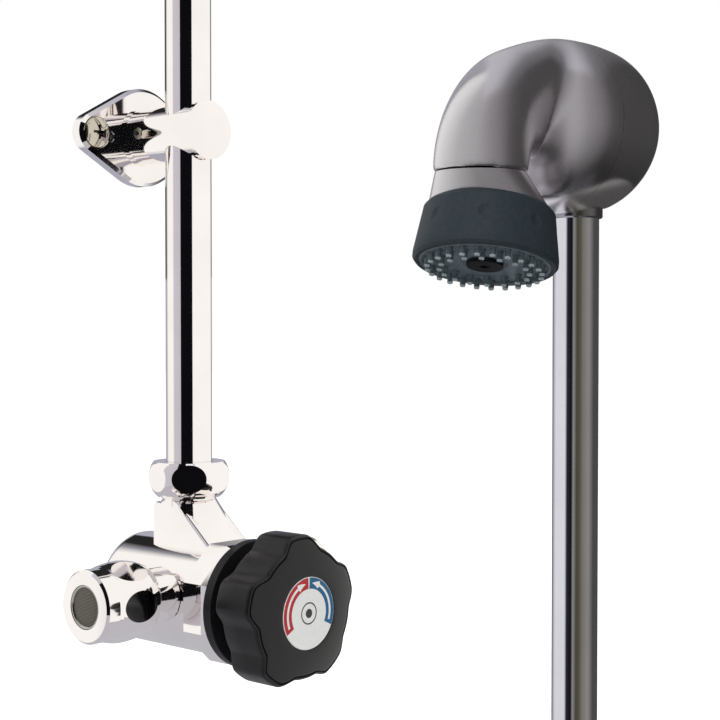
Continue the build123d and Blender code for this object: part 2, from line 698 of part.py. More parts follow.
# Set screw in the side of the post, bearing on the stud
with BuildPart() as bracket_set_screw:
    with BuildSketch(Plane(origin=(-stud_r, -set_screw_out, 0), x_dir=(0, 1, 0), z_dir=(-1, 0, 0))):
        Circle(set_screw_r)
    extrude(amount=post_r - stud_r + 0.2)
    with BuildSketch(Plane(origin=(-stud_r - 1.6, -set_screw_out, 0), x_dir=(0, 1, 0), z_dir=(-1, 0, 0))):
        RegularPolygon(radius=1.0, side_count=6)
    extrude(amount=3, mode=Mode.SUBTRACT)
bracket_set_screw.part.label = "bracket_set_screw"
export_step(bracket_set_screw.part, "parts/bracket_set_screw.step")

# Two raised countersunk machine screws with cross recesses, into threaded inserts in the wall. The
# shank is thinner inside the plate, so that the screw can find its insert.
with BuildPart() as wall_screws:
    for x in (-plate_hole_x, plate_hole_x):
        with BuildSketch(Plane(origin=(x, 0, 0), x_dir=(1, 0, 0), z_dir=(0, 0, -1))):
            with BuildLine():
                seat = (wall_screw_head_r, plate_t - 0.3)
                cone_foot = plate_t - 0.3 - (wall_screw_head_r - wall_screw_neck_r)
                Polyline((0, plate_t + 1.6), (0, -wall_screw_reach), (wall_screw_r - 1.0, -wall_screw_reach),
                         (wall_screw_r, 1.0 - wall_screw_reach), (wall_screw_r, 0), (wall_screw_neck_r, 0),
                         (wall_screw_neck_r, cone_foot), seat, (wall_screw_head_r, plate_t))
                ThreePointArc((wall_screw_head_r, plate_t),
                              (3.0, plate_t + dome_rise(3.0, wall_screw_head_r, 1.6)), (0, plate_t + 1.6))
            make_face()
        revolve(axis=Axis((x, 0, 0), (0, -1, 0)))
        with BuildSketch(Plane(origin=(x, -plate_t + 0.6, 0), x_dir=(1, 0, 0), z_dir=(0, -1, 0))):
            Rectangle(5.0, 0.9)
            Rectangle(0.9, 5.0)
        extrude(amount=4, mode=Mode.SUBTRACT)
wall_screws.part.label = "wall_screws"
export_step(wall_screws.part, "parts/wall_screws.step")

# Tube of the shower head, cut square at its free lower end
with BuildPart() as upper_tube:
    with BuildSketch(Plane(origin=(ball.X, ball.Y, upper_tube_bottom))):
        Circle(tube_r)
        Circle(tube_r - tube_wall, mode=Mode.SUBTRACT)
    extrude(amount=ball.Z + tube_top - upper_tube_bottom)
    chamfer(upper_tube.edges().group_by(Axis.Z)[0], length=0.4)
upper_tube.part.label = "upper_tube"
export_step(upper_tube.part, "parts/upper_tube.step")

# Ring where the tube enters the head
with BuildPart() as head_tube_ring:
    with BuildSketch(Plane(origin=ball + Vector(0, 0, ring_drop))):
        Circle(ring_out_r)
        Circle(tube_r + tube_gap, mode=Mode.SUBTRACT)
    extrude(amount=ring_top - ring_drop)
    chamfer(head_tube_ring.edges().group_by(Axis.Z)[0], length=0.45)
head_tube_ring.part.label = "head_tube_ring"
export_step(head_tube_ring.part, "parts/head_tube_ring.step")


def inset(rows, thin):
    """Outline moved inward by the given amount, square to itself; its nose stays on the axis."""
    moved = [(rows[0][0] - thin, 0)]
    for before, here, after in zip(rows, rows[1:], rows[2:]):
        run = Vector(after[0] - before[0], after[1] - before[1]).normalized()
        moved.append((here[0] - run.Y * thin, here[1] + run.X * thin))
    return moved + [(rows[-1][0] + thin, rows[-1][1] - 0.4 * thin)]


def ball_form(thin):
    """The ball: a squarish turned dome, flat towards the wall, made smaller by the given amount."""
    rows = inset(ball_rows, thin) if thin else ball_rows
    with BuildPart() as shape:
        with BuildSketch(along_ball()):
            with BuildLine():
                Spline(*rows, tangents=((0, 1), (-0.7, -0.7)))
                Polyline(rows[-1], (rows[-1][0], 0), rows[0])
            make_face()
        revolve(axis=ball_axis)
    return shape.part


def hood_form(rows, thin):
    """One run of the hood's sections, made smaller by the given amount."""
    with BuildPart() as shape:
        for h, z, half_height, half_width, tilt, egg in rows:
            with BuildSketch(hood_section(h, z, tilt)):
                with BuildLine():
                    oval(half_width - thin, half_height - thin, egg)
                make_face()
        loft()
    return shape.part


def skirt_form(thin):
    """Flared collar from the neck below the hood to the top of the spray ring."""
    h, z, half_height, half_width, tilt, egg = hood_rows[-1]
    with BuildPart() as shape:
        with BuildSketch(hood_section(h, z, tilt)):
            with BuildLine():
                oval(half_width - neck_step - thin, half_height - neck_step - thin)
            make_face()
        with BuildSketch(across_spray(ring_top_u)):
            with BuildLine():
                oval(skirt_r - thin, skirt_r - thin)
            make_face()
        loft()
    return shape.part


# The head's shell is one form, a ball with the hood growing out of it, parted at a level seam plane
outer_forms = (ball_form(0), hood_form(hood_rows[:4], 0), hood_form(hood_rows[3:], 0))
inner_forms = (ball_form(shell_t), hood_form(hood_rows[:4], shell_t), hood_form(hood_rows[3:], shell_t))
seam_plane = Plane(origin=ball + Vector(-seam_h, 0, 0), x_dir=(0, 1, 0), z_dir=(1, 0, 0))

# Rear shell: the back of the ball and of the hood, with the bore that the tube's ring fills
with BuildPart() as head_rear_shell:
    for form in outer_forms[:2]:
        add(form)
    with BuildSketch(seam_plane):
        Rectangle(120, 120)
    extrude(amount=-60, mode=Mode.SUBTRACT)
    for form in inner_forms[:2]:
        add(form, mode=Mode.SUBTRACT)
    with BuildSketch(Plane(origin=ball + Vector(0, 0, -36))):
        Circle(ring_out_r + tube_gap)
    extrude(amount=20, mode=Mode.SUBTRACT)
head_rear_shell.part.label = "head_rear_shell"
export_step(head_rear_shell.part, "parts/head_rear_shell.step")

# Front shell: the front of the ball, the hood and the neck
with BuildPart() as head_front_shell:
    for form in outer_forms:
        add(form)
    with BuildSketch(seam_plane):
        Rectangle(120, 120)
    extrude(amount=60, mode=Mode.SUBTRACT)
    for form in inner_forms:
        add(form, mode=Mode.SUBTRACT)
head_front_shell.part.label = "head_front_shell"
export_step(head_front_shell.part, "parts/head_front_shell.step")

# Skirt under the hood, a little smaller than it, so that a fine groove runs round the neck
outer_skirt = skirt_form(0)
inner_skirt = skirt_form(shell_t)
with BuildPart() as head_skirt:
    add(outer_skirt)
    add(inner_skirt, mode=Mode.SUBTRACT)
head_skirt.part.label = "head_skirt"
export_step(head_skirt.part, "parts/head_skirt.step")

# Waterway: a socket over the tube's top, a duct over into the hood and a chamber behind the spray plate
chamber_top_u = ring_top_u - 0.3
with BuildLine(along_ball()) as duct:
    FilletPolyline((face_forward - 3.3, 13.6 - face_down), (face_forward + 0.3, 28.7 - face_down), (38, 3),
                   (0, 8), (0, -11), radius=9)
with BuildPart() as waterway:
    with BuildSketch(across_spray(chamber_top_u)):
        Circle(spigot_r)
    extrude(amount=chamber_top_u - seal_back_u)
    with BuildSketch(Plane(origin=ball + Vector(0, 0, ring_top))):
        Circle(socket_r)
    extrude(amount=14)
    with BuildSketch(Plane(origin=duct.wire() @ 0, z_dir=duct.wire() % 0)):
        Circle(duct_r)
    sweep(path=duct.wire())
    with BuildSketch(Plane(origin=duct.wire() @ 0, z_dir=duct.wire() % 0)):
        Circle(duct_r - 1.6)
    sweep(path=duct.wire(), mode=Mode.SUBTRACT)
    with BuildSketch(Plane(origin=ball + Vector(0, 0, ring_top))):
        Circle(tube_r + tube_gap)
    extrude(amount=socket_depth, mode=Mode.SUBTRACT)
    with BuildSketch(across_spray(chamber_top_u - 2.9)):
        Circle(spigot_r - 2.4)
        with PolarLocations(10, 3):
            Rectangle(12, 2.4, mode=Mode.SUBTRACT)
        Circle(face_screw_r + 2.0, mode=Mode.SUBTRACT)
    extrude(amount=12, mode=Mode.SUBTRACT)
    with BuildSketch(across_spray(chamber_top_u - 2.9)):
        Circle(face_screw_r + thread_gap)
    extrude(amount=12, mode=Mode.SUBTRACT)
waterway.part.label = "waterway"
export_step(waterway.part, "parts/waterway.step")

# Flow regulator resting on the tube's end
with BuildPart() as flow_regulator:
    with BuildSketch(Plane(origin=ball + Vector(0, 0, tube_top))):
        Circle(tube_r)
        Circle(1.4, mode=Mode.SUBTRACT)
        with PolarLocations(3.4, 6):
            Circle(0.8, mode=Mode.SUBTRACT)
    extrude(amount=2.5)
flow_regulator.part.label = "flow_regulator"
export_step(flow_regulator.part, "parts/flow_regulator.step")

# Spray ring: soft grey grip with finger dimples, screwed over the chamber
with BuildPart() as spray_ring:
    with BuildSketch(along_spray()):
        with BuildLine():
            Polyline((spigot_r + thread_gap, ring_top_u), (spigot_r + thread_gap, seal_back_u),
                     (plate_r + seat_gap, seal_back_u), (plate_r + seat_gap, 0), (grip_r - 0.8, 0),
                     (grip_r, 1.0), (grip_r, 2.6), (skirt_r + 1.4, ring_top_u - 1.2),
                     (skirt_r + 0.4, ring_top_u), close=True)
        make_face()
    revolve(axis=spray_axis)
    for k in range(8):
        turn = math.radians(45 * k + 10)
        out = grip_r - 1.8 + dimple_r
        middle = across_spray(11.5).from_local_coords(Vector(out * math.cos(turn), out * math.sin(turn), 0))
        with Locations(Location(middle)):
            Sphere(dimple_r, mode=Mode.SUBTRACT)
spray_ring.part.label = "spray_ring"
export_step(spray_ring.part, "parts/spray_ring.step")

# Spray plate: rimmed face with two rings of hollow nozzles
nozzle_rings = ((plate_r - 3.0, 24, 0.0), (plate_r - 7.0, 16, 0.5))
with BuildPart() as spray_plate:
    with BuildSketch(across_spray(plate_back_u)):
        Circle(plate_r)
    extrude(amount=plate_thick)
    with BuildSketch(across_spray(plate_face_u)):
        Circle(plate_r)
        Circle(plate_r - 0.9, mode=Mode.SUBTRACT)
    extrude(amount=plate_face_u)
    for ring_r, count, start_step in nozzle_rings:
        with BuildSketch(across_spray(plate_face_u + 0.1)):
            with PolarLocations(ring_r, count, start_angle=start_step * 360 / count):
                Circle(0.95)
        extrude(amount=2.6, taper=4)
    for ring_r, count, start_step in nozzle_rings:
        with BuildSketch(across_spray(plate_back_u)):
            with PolarLocations(ring_r - 0.6, count, start_angle=start_step * 360 / count):
                RegularPolygon(radius=0.4, side_count=6)
        extrude(amount=plate_thick, mode=Mode.SUBTRACT)
    with BuildSketch(across_spray(plate_back_u)):
        Circle(face_screw_r + 0.1)
    extrude(amount=5, mode=Mode.SUBTRACT)
spray_plate.part.label = "spray_plate"
export_step(spray_plate.part, "parts/spray_plate.step")

# Flat seal between the spray plate and the chamber wall
with BuildPart() as head_seal:
    with BuildSketch(across_spray(seal_back_u)):
        Circle(spigot_r)
        Circle(spigot_r - 2.2, mode=Mode.SUBTRACT)
    extrude(amount=seal_t)
head_seal.part.label = "head_seal"
export_step(head_seal.part, "parts/head_seal.step")

# Centre screw of the spray plate, dark head with a hex socket
with BuildPart() as face_screw:
    with BuildSketch(across_spray(13)):
        Circle(face_screw_r)
    extrude(amount=13 - plate_face_u)
    with BuildSketch(across_spray(plate_face_u)):
        Circle(2 * face_screw_r)
    extrude(amount=1.2)
    with BuildSketch(across_spray(plate_face_u + 2.0)):
        RegularPolygon(radius=1.7, side_count=6)
    extrude(amount=6, mode=Mode.SUBTRACT)
face_screw.part.label = "face_screw"
export_step(face_screw.part, "parts/face_screw.step")
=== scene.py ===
from math import asin, atan2, cos, degrees, pi, radians, sin, sqrt

import bmesh
import bpy
from mathutils import Matrix, Vector


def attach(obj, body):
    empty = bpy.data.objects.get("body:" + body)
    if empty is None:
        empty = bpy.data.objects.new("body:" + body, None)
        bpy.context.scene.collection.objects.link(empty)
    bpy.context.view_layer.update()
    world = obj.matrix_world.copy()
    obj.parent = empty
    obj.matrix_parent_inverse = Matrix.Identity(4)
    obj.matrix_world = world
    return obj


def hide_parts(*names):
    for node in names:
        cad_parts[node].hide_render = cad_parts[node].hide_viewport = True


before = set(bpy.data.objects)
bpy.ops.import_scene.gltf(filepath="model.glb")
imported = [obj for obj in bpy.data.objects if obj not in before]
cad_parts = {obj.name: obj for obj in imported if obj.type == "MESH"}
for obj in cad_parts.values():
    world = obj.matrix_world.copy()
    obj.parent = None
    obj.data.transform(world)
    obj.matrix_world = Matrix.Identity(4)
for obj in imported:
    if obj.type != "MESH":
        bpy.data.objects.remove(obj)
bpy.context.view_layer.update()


# Valve body: one brass casting with a round barrel, an octagon in front, an outlet tower and two side
# inlets, ground and chrome plated. The plating is mirror-bright, a little cloudy where hands rub it.
def plated(name, colour, gloss=0.04, cloud=0.04, ripple=0.015):
    """Bright plated or turned metal: cloudy wiped patches in the gloss and a faint ripple."""
    cloud_scale, dull_share = 60.0, 0.955
    patch_low, patch_high, rub_high = 0.35, 0.65, 0.7
    ripple_scale, ripple_height = 90.0, 0.001
    finish = bpy.data.materials.new(name)
    finish.use_nodes = True
    tree = finish.node_tree
    shader = tree.nodes["Principled BSDF"]
    shader.inputs["Metallic"].default_value = 1.0
    place = tree.nodes.new("ShaderNodeTexCoord")
    cloudy = tree.nodes.new("ShaderNodeTexNoise")
    cloudy.inputs["Scale"].default_value = cloud_scale
    cloudy.inputs["Detail"].default_value = 4.0
    tree.links.new(place.outputs["Object"], cloudy.inputs["Vector"])
    tint = tree.nodes.new("ShaderNodeValToRGB")
    tint.color_ramp.elements[0].position = patch_low
    tint.color_ramp.elements[0].color = (*[part * dull_share for part in colour], 1)
    tint.color_ramp.elements[1].position = patch_high
    tint.color_ramp.elements[1].color = (*colour, 1)
    tree.links.new(cloudy.outputs["Fac"], tint.inputs["Fac"])
    tree.links.new(tint.outputs["Color"], shader.inputs["Base Color"])
    rub = tree.nodes.new("ShaderNodeMapRange")
    rub.inputs["From Min"].default_value = patch_low
    rub.inputs["From Max"].default_value = rub_high
    rub.inputs["To Min"].default_value = gloss
    rub.inputs["To Max"].default_value = gloss + cloud
    tree.links.new(cloudy.outputs["Fac"], rub.inputs["Value"])
    tree.links.new(rub.outputs["Result"], shader.inputs["Roughness"])
    wave = tree.nodes.new("ShaderNodeTexNoise")
    wave.inputs["Scale"].default_value = ripple_scale
    wave.inputs["Detail"].default_value = 1.0
    tree.links.new(place.outputs["Object"], wave.inputs["Vector"])
    bump = tree.nodes.new("ShaderNodeBump")
    bump.inputs["Strength"].default_value = ripple
    bump.inputs["Distance"].default_value = ripple_height
    tree.links.new(wave.outputs["Fac"], bump.inputs["Height"])
    tree.links.new(bump.outputs["Normal"], shader.inputs["Normal"])
    return finish


def dress(material, *nodes):
    """The material takes the place of the plain one on each of these nodes."""
    for node in nodes:
        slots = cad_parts[node].data.materials
        if slots:
            slots[0] = material
        else:
            slots.append(material)


bright_chrome = plated("bright_chrome", (0.96, 0.925, 0.905))
dress(bright_chrome, "valve_body")

# Riser tube and its nut: drawn brass tube, and a turned nut with six milled flats, both chrome plated.
# The nut squeezes a brass compression ring on the tube.
dress(bright_chrome, "riser_tube", "riser_nut")
turned_brass = plated("turned_brass", (0.78, 0.6, 0.3), gloss=0.25)
dress(turned_brass, "riser_olive")

# Inlet nuts: turned chrome-plated nuts on the two side inlets, with a rubber washer at the seat
# of each and a moulded check valve inside the inlet's bore.
dress(bright_chrome, "inlet_nut_left", "inlet_nut_right")


def moulded(name, dark, light, rough=0.4, grain=900.0, depth=0.06, gleam=0.5):
    """Moulded plastic or rubber: fine mottling, and a grain that also breaks up the gloss."""
    mottle_low, mottle_high = 0.3, 0.7
    wear_swing, grain_height = 0.06, 0.0005
    finish = bpy.data.materials.new(name)
    finish.use_nodes = True
    tree = finish.node_tree
    shader = tree.nodes["Principled BSDF"]
    shader.inputs["Specular IOR Level"].default_value = gleam
    place = tree.nodes.new("ShaderNodeTexCoord")
    fine = tree.nodes.new("ShaderNodeTexNoise")
    fine.inputs["Scale"].default_value = grain
    fine.inputs["Detail"].default_value = 3.0
    tree.links.new(place.outputs["Object"], fine.inputs["Vector"])
    tint = tree.nodes.new("ShaderNodeValToRGB")
    tint.color_ramp.elements[0].position = mottle_low
    tint.color_ramp.elements[0].color = (*dark, 1)
    tint.color_ramp.elements[1].position = mottle_high
    tint.color_ramp.elements[1].color = (*light, 1)
    tree.links.new(fine.outputs["Fac"], tint.inputs["Fac"])
    tree.links.new(tint.outputs["Color"], shader.inputs["Base Color"])
    wear = tree.nodes.new("ShaderNodeMapRange")
    wear.inputs["To Min"].default_value = rough - wear_swing
    wear.inputs["To Max"].default_value = rough + wear_swing
    tree.links.new(fine.outputs["Fac"], wear.inputs["Value"])
    tree.links.new(wear.outputs["Result"], shader.inputs["Roughness"])
    bump = tree.nodes.new("ShaderNodeBump")
    bump.inputs["Strength"].default_value = depth
    bump.inputs["Distance"].default_value = grain_height
    tree.links.new(fine.outputs["Fac"], bump.inputs["Height"])
    tree.links.new(bump.outputs["Normal"], shader.inputs["Normal"])
    return finish


dark_rubber = moulded("dark_rubber", (0.012, 0.012, 0.012), (0.02, 0.02, 0.02), rough=0.6)
white_moulding = moulded("white_moulding", (0.75, 0.75, 0.72), (0.85, 0.85, 0.82))
dress(dark_rubber, "inlet_washer_left", "inlet_washer_right")
dress(white_moulding, "check_valve_left", "check_valve_right")

# Inlet strainers: fine woven steel discs pressed into a rolled wire rim, one in the mouth of each
# inlet nut. The weave is too fine to see as holes and reads as a grey cloth.
strainer_r = 0.00717
strainer_y, strainer_z = -0.036, -0.157
strainer_out = 0.0518
strainer_steps = 64
cloth_r, rim_hole_r = strainer_r - 0.0002, strainer_r - 0.0009
cloth_profile = [(cloth_r, -0.0011), (cloth_r, -0.0007), (strainer_r - 0.0007, -0.0004), (0.0045, -0.00018),
                 (0.0020, -0.00008)]
rim_profile = [(rim_hole_r, -0.0012), (strainer_r - 0.0001, -0.0012), (strainer_r, -0.0010),
               (strainer_r, -0.0003), (strainer_r - 0.0002, 0.0), (strainer_r - 0.0006, 0.0),
               (rim_hole_r, -0.0003)]
weave_pitch = 0.00045
# the wave texture turns 20 radians for each unit of its scale
wave_turn = 20
woven = bpy.data.materials.new("woven_steel")
woven.use_nodes = True
tree = woven.node_tree
shader = tree.nodes["Principled BSDF"]
shader.inputs["Metallic"].default_value = 0.75
shader.inputs["Roughness"].default_value = 0.42
place = tree.nodes.new("ShaderNodeTexCoord")
cross = tree.nodes.new("ShaderNodeMath")
cross.operation = "MULTIPLY"
for i, direction in enumerate(("Y", "Z")):
    wire = tree.nodes.new("ShaderNodeTexWave")
    wire.bands_direction = direction
    wire.inputs["Scale"].default_value = 2 * pi / weave_pitch / wave_turn
    wire.inputs["Distortion"].default_value = 0.3
    tree.links.new(place.outputs["Object"], wire.inputs["Vector"])
    tree.links.new(wire.outputs["Fac"], cross.inputs[i])
tint = tree.nodes.new("ShaderNodeValToRGB")
tint.color_ramp.elements[0].color = (0.045, 0.042, 0.033, 1)
tint.color_ramp.elements[1].color = (0.40, 0.38, 0.31, 1)
tree.links.new(cross.outputs["Value"], tint.inputs["Fac"])
tree.links.new(tint.outputs["Color"], shader.inputs["Base Color"])
bump = tree.nodes.new("ShaderNodeBump")
bump.inputs["Strength"].default_value = 0.5
bump.inputs["Distance"].default_value = 0.0001
tree.links.new(cross.outputs["Value"], bump.inputs["Height"])
tree.links.new(bump.outputs["Normal"], shader.inputs["Normal"])
wire_steel = plated("wire_steel", (0.5, 0.49, 0.46), gloss=0.2)


def begin(add, **how):
    """Nothing stays selected, then the primitive is added and opened for editing."""
    bpy.ops.object.select_all(action="DESELECT")
    add(**how)
    piece = bpy.context.object
    bpy.ops.object.mode_set(mode="EDIT")
    return piece


def end(piece, name, place=None, smooth=30.0):
    """The piece is merged, its normals are set outwards, and its place goes into its mesh."""
    bpy.ops.mesh.select_all(action="SELECT")
    bpy.ops.mesh.remove_doubles(threshold=1e-7)
    bpy.ops.mesh.normals_make_consistent(inside=False)
    bpy.ops.object.mode_set(mode="OBJECT")
    piece.name = name
    bpy.ops.object.transform_apply(location=True, rotation=True, scale=True)
    if place is not None:
        piece.data.transform(place)
    bpy.ops.object.shade_smooth_by_angle(angle=radians(smooth))
    return piece


def build_up(name, rings, steps, place, smooth=30.0):
    """A round piece made as by hand: a filled circle at the first ring, its face extruded to each next ring.

    A ring is (radius, height), or a function that gives both for an angle in degrees.
    """
    piece = begin(bpy.ops.mesh.primitive_circle_add, vertices=steps, radius=1.0, fill_type="NGON")
    bpy.ops.mesh.select_all(action="SELECT")
    for i, ring in enumerate(rings):
        if i:
            bpy.ops.mesh.extrude_region_move()
        mesh = bmesh.from_edit_mesh(piece.data)
        for vertex in mesh.verts:
            if vertex.select:
                angle = atan2(vertex.co.y, vertex.co.x)
                radius, height = ring(degrees(angle)) if callable(ring) else ring
                vertex.co = (radius * cos(angle), radius * sin(angle), height)
        bmesh.update_edit_mesh(piece.data)
    return end(piece, name, place, smooth)


def facing(origin, out, right):
    """Placing matrix: local z looks along out, local x along right, square to it."""
    out = Vector(out).normalized()
    right = Vector(right).normalized()
    turn = Matrix((right, out.cross(right), out)).transposed()
    return Matrix.Translation(origin) @ turn.to_4x4()


for side, hand in ((-1, "left"), (1, "right")):
    mouth = facing((side * strainer_out, strainer_y, strainer_z), (side, 0, 0), (0, 1, 0))
    cloth = build_up(f"strainer_cloth_{hand}", cloth_profile, strainer_steps, mouth)
    cloth.data.materials.append(woven)
    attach(cloth, "root")
    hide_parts(f"inlet_strainer_{hand}")
    rim = build_up(f"strainer_rim_{hand}", rim_profile, strainer_steps, mouth)
    # the rim is a ring, so its two filled ends are taken out and its edges are bridged
    bpy.ops.object.mode_set(mode="EDIT")
    mesh = bmesh.from_edit_mesh(rim.data)
    ends = [face for face in mesh.faces if len(face.verts) > 4]
    bmesh.ops.delete(mesh, geom=ends, context="FACES_ONLY")
    bmesh.update_edit_mesh(rim.data)
    bpy.ops.mesh.select_all(action="DESELECT")
    bpy.ops.mesh.select_non_manifold()
    bpy.ops.mesh.bridge_edge_loops()
    end(rim, rim.name, smooth=40)
    rim.data.materials.append(wire_steel)
    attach(rim, "root")

# Timed cartridge: turned brass housing with a white mixing sleeve, a brass piston on a steel stem and
# a wound return spring, closed by a black bonnet behind the knob. Hidden but for the bonnet.
# black moulding made dull; on the knob collar it also stands in for painted shade
black_and_painted_shade = moulded("black_and_painted_shade", (0.006, 0.006, 0.007), (0.01, 0.01, 0.011), rough=0.45, gleam=0.25)
drawn_steel = plated("drawn_steel", (0.6, 0.6, 0.6), gloss=0.2)
dress(turned_brass, "cartridge_housing", "piston")
# the collar sits in the dark gap between the octagon and the knob; its black, duller than the knob's, is
# partly its own colour and partly painted shade of that gap
dress(black_and_painted_shade, "cartridge_bonnet", "knob_collar")
dress(white_moulding, "mixing_sleeve")
dress(dark_rubber, "stem_seal", "piston_seal")
dress(drawn_steel, "return_spring", "push_stem", "knob_screw")

# Push knob: black satin moulding with five lobes, a fine groove round the edge of its domed face and
# a hollow back with a boss for the stem. One screw under the label holds it.
knob_y, knob_z = -0.028, -0.160
knob_steps = 240
first_lobe, lobe_step = 20.0, 72.0
lobe_flat, lobe_foot = 7.5, 25.0
valley_r, lobe_r = 0.0219, 0.0252
# heights run along the knob's axis into the room, from the point that knob_y and knob_z give
skirt_back, skirt_shoulder, skirt_edge, face_front = 0.040, 0.0470, 0.0543, 0.0576
knob_in, hollow_floor = 0.0186, 0.0505
boss_r, boss_foot = 0.0075, 0.0465
stem_hole_r, stem_hole_end = 0.00405, 0.0520
soft_edge = 0.0003
groove_outer, groove_inner, groove_drop = 0.00105, 0.00135, 0.0007
groove_lip, groove_lip_drop = 0.00015, 0.00005
face_inset = 0.0019
dome_r, dome_swell = 0.0254, 0.0016
rim_r, recess_r = 0.0130, 0.0119


def outline(angle, inset=0.0):
    """Radius of the fluted outline at this angle, less an inset."""
    off = abs((angle - first_lobe + lobe_step / 2) % lobe_step - lobe_step / 2)
    share = min(max((off - lobe_flat) / (lobe_foot - lobe_flat), 0.0), 1.0)
    return valley_r + (lobe_r - valley_r) * (0.5 + 0.5 * cos(pi * share)) - inset


def dome(radius):
    """How far out the domed face stands at this radius."""
    share = min((dome_r - radius) / (dome_r - rim_r), 1.0)
    return skirt_edge + (face_front - skirt_edge) * share + dome_swell * share * (1 - share)


def flute(inset, height):
    """Ring of the fluted outline, set in by an inset, all at one height."""
    return lambda angle: (outline(angle, inset), height)


def face_line(inset, drop):
    """Ring that follows the fluted outline on the domed face, a drop below it."""
    return lambda angle: (outline(angle, inset), dome(outline(angle, inset)) - drop)


def fade(share):
    """Ring of the face on the way from the fluted edge to the round rim of the label's recess."""
    def ring(angle):
        radius = outline(angle, face_inset) * (1 - share) + rim_r * share
        return radius, dome(radius)
    return ring


hollow_back = [(stem_hole_r, stem_hole_end), (stem_hole_r, boss_foot), (boss_r - soft_edge, boss_foot),
               (boss_r, boss_foot + soft_edge), (boss_r, hollow_floor - soft_edge),
               (boss_r + soft_edge, hollow_floor), (knob_in - soft_edge, hollow_floor),
               (knob_in, hollow_floor - soft_edge), (knob_in, skirt_back + 0.0004),
               (knob_in + 0.0004, skirt_back)]
fluted_side = [flute(0.0007, skirt_back), flute(0.0002, skirt_back + 0.0002), flute(0.0, skirt_back + 0.0007),
               flute(0.0, skirt_shoulder), face_line(0.0, 0.0016), face_line(0.0, 0.0008),
               face_line(0.0002, 0.0003), face_line(0.0006, 0.0)]
edge_groove = [face_line(groove_outer - groove_lip, groove_lip_drop), face_line(groove_outer, groove_drop),
               face_line(groove_inner, groove_drop), face_line(groove_inner + groove_lip, groove_lip_drop),
               face_line(face_inset, 0.0)]
domed_face = [fade(share) for share in (0.12, 0.3, 0.5, 0.7, 0.85, 0.95)]
label_recess = [(rim_r - 0.0004, face_front), (recess_r + 0.0003, face_front),
                (recess_r + 0.00005, face_front - 0.00015), (recess_r, face_front - 0.0006)]
knob_place = facing((0, knob_y, knob_z), (0, -1, 0), (1, 0, 0))
knob = build_up("push_knob", hollow_back + fluted_side + edge_groove + domed_face + label_recess, knob_steps,
                knob_place, smooth=25)
knob_black = moulded("knob_black", (0.0065, 0.006, 0.0062), (0.0105, 0.0098, 0.0100), rough=0.38,
                     grain=1400.0, depth=0.05, gleam=0.3)
knob.data.materials.append(knob_black)
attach(knob, "knob")
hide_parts("knob")

# Label: a white disc let into the knob's face over the screw, printed with a red and a blue band, each
# with a white arrow, and a plain ring and dot where the thumb pushes.
label_r, label_thick, label_edge = 0.0118, 0.0006, 0.0001
label_steps, band_steps = 96, 48
print_rise = 0.00003
band_r, band_half = 0.0098, 0.0018
red_band, blue_band = (91.5, 210), (88.5, -26)
red_arrow, blue_arrow = (203, 99), (-19, 81)
shaft_half, barb_half, tip_half, barb_from = 0.00042, 0.0013, 0.00001, 0.80
thumb_ring, thumb_dot = (0.0034, 0.00022), (0.00075, 0.00074)
ink_tones = {"print_white": ((0.82, 0.82, 0.81), (0.88, 0.88, 0.87)),
             "print_red": ((0.42, 0.012, 0.02), (0.50, 0.018, 0.028)),
             "print_blue": ((0.006, 0.10, 0.22), (0.01, 0.13, 0.28)),
             "print_grey": ((0.02, 0.02, 0.02), (0.035, 0.035, 0.035))}
label_place = facing((0, knob_y - face_front, knob_z), (0, -1, 0), (1, 0, 0))
label_profile = [(label_r, -label_thick), (label_r, -label_edge), (label_r - label_edge, 0.0)]
label = build_up("turn_label", label_profile, label_steps, label_place)


def printed_band(start, finish, radius, half_width, level):
    """Printed band along an arc; its half width follows the share of the way from start to finish."""
    band = begin(bpy.ops.mesh.primitive_grid_add, x_subdivisions=band_steps, y_subdivisions=1, size=1.0)
    mesh = bmesh.from_edit_mesh(band.data)
    for vertex in mesh.verts:
        share = vertex.co.x + 0.5
        angle = radians(start + (finish - start) * share)
        reach = radius + (half_width(share) if vertex.co.y > 0 else -half_width(share))
        vertex.co = (reach * cos(angle), reach * sin(angle), level)
    bmesh.update_edit_mesh(band.data)
    bpy.ops.mesh.select_all(action="SELECT")
    bpy.ops.mesh.extrude_region_move(TRANSFORM_OT_translate={"value": (0, 0, print_rise)})
    return end(band, "printed_band", label_place)


def even(half):
    """Half width of a band that is as wide all along."""
    return lambda share: half


def arrow(share):
    """Half width of an arrow: a straight shaft, then a barb that runs to the tip."""
    return shaft_half if share < barb_from else barb_half * (1.0 - share) / (1.0 - barb_from) + tip_half


prints = [("print_red", printed_band(*red_band, band_r, even(band_half), 0.0)),
          ("print_blue", printed_band(*blue_band, band_r, even(band_half), 0.0)),
          ("print_white", printed_band(*red_arrow, band_r, arrow, print_rise)),
          ("print_white", printed_band(*blue_arrow, band_r, arrow, print_rise))]
for middle_r, half in (thumb_ring, thumb_dot):
    for start in (0, 180):
        prints.append(("print_grey", printed_band(start, start + 180, middle_r, even(half), 0.0)))
inks = {ink: moulded(ink, dark, light, rough=0.3, gleam=0.3) for ink, (dark, light) in ink_tones.items()}
label.data.materials.append(inks["print_white"])
bpy.ops.object.select_all(action="DESELECT")
for ink, band in prints:
    band.data.materials.append(inks[ink])
    band.select_set(True)
label.select_set(True)
bpy.context.view_layer.objects.active = label
bpy.ops.object.join()
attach(label, "knob")
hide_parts("knob_label")

# Wall bracket: chrome-plated plate, post and end cap, with a steel set screw in the post's side and
# two plated screws of a slightly yellow tone through the plate.
dress(bright_chrome, "bracket_plate", "bracket_post", "bracket_end_cap")
dress(drawn_steel, "bracket_set_screw")
dress(plated("screw_yellow", (0.62, 0.57, 0.47), gloss=0.12), "wall_screws")

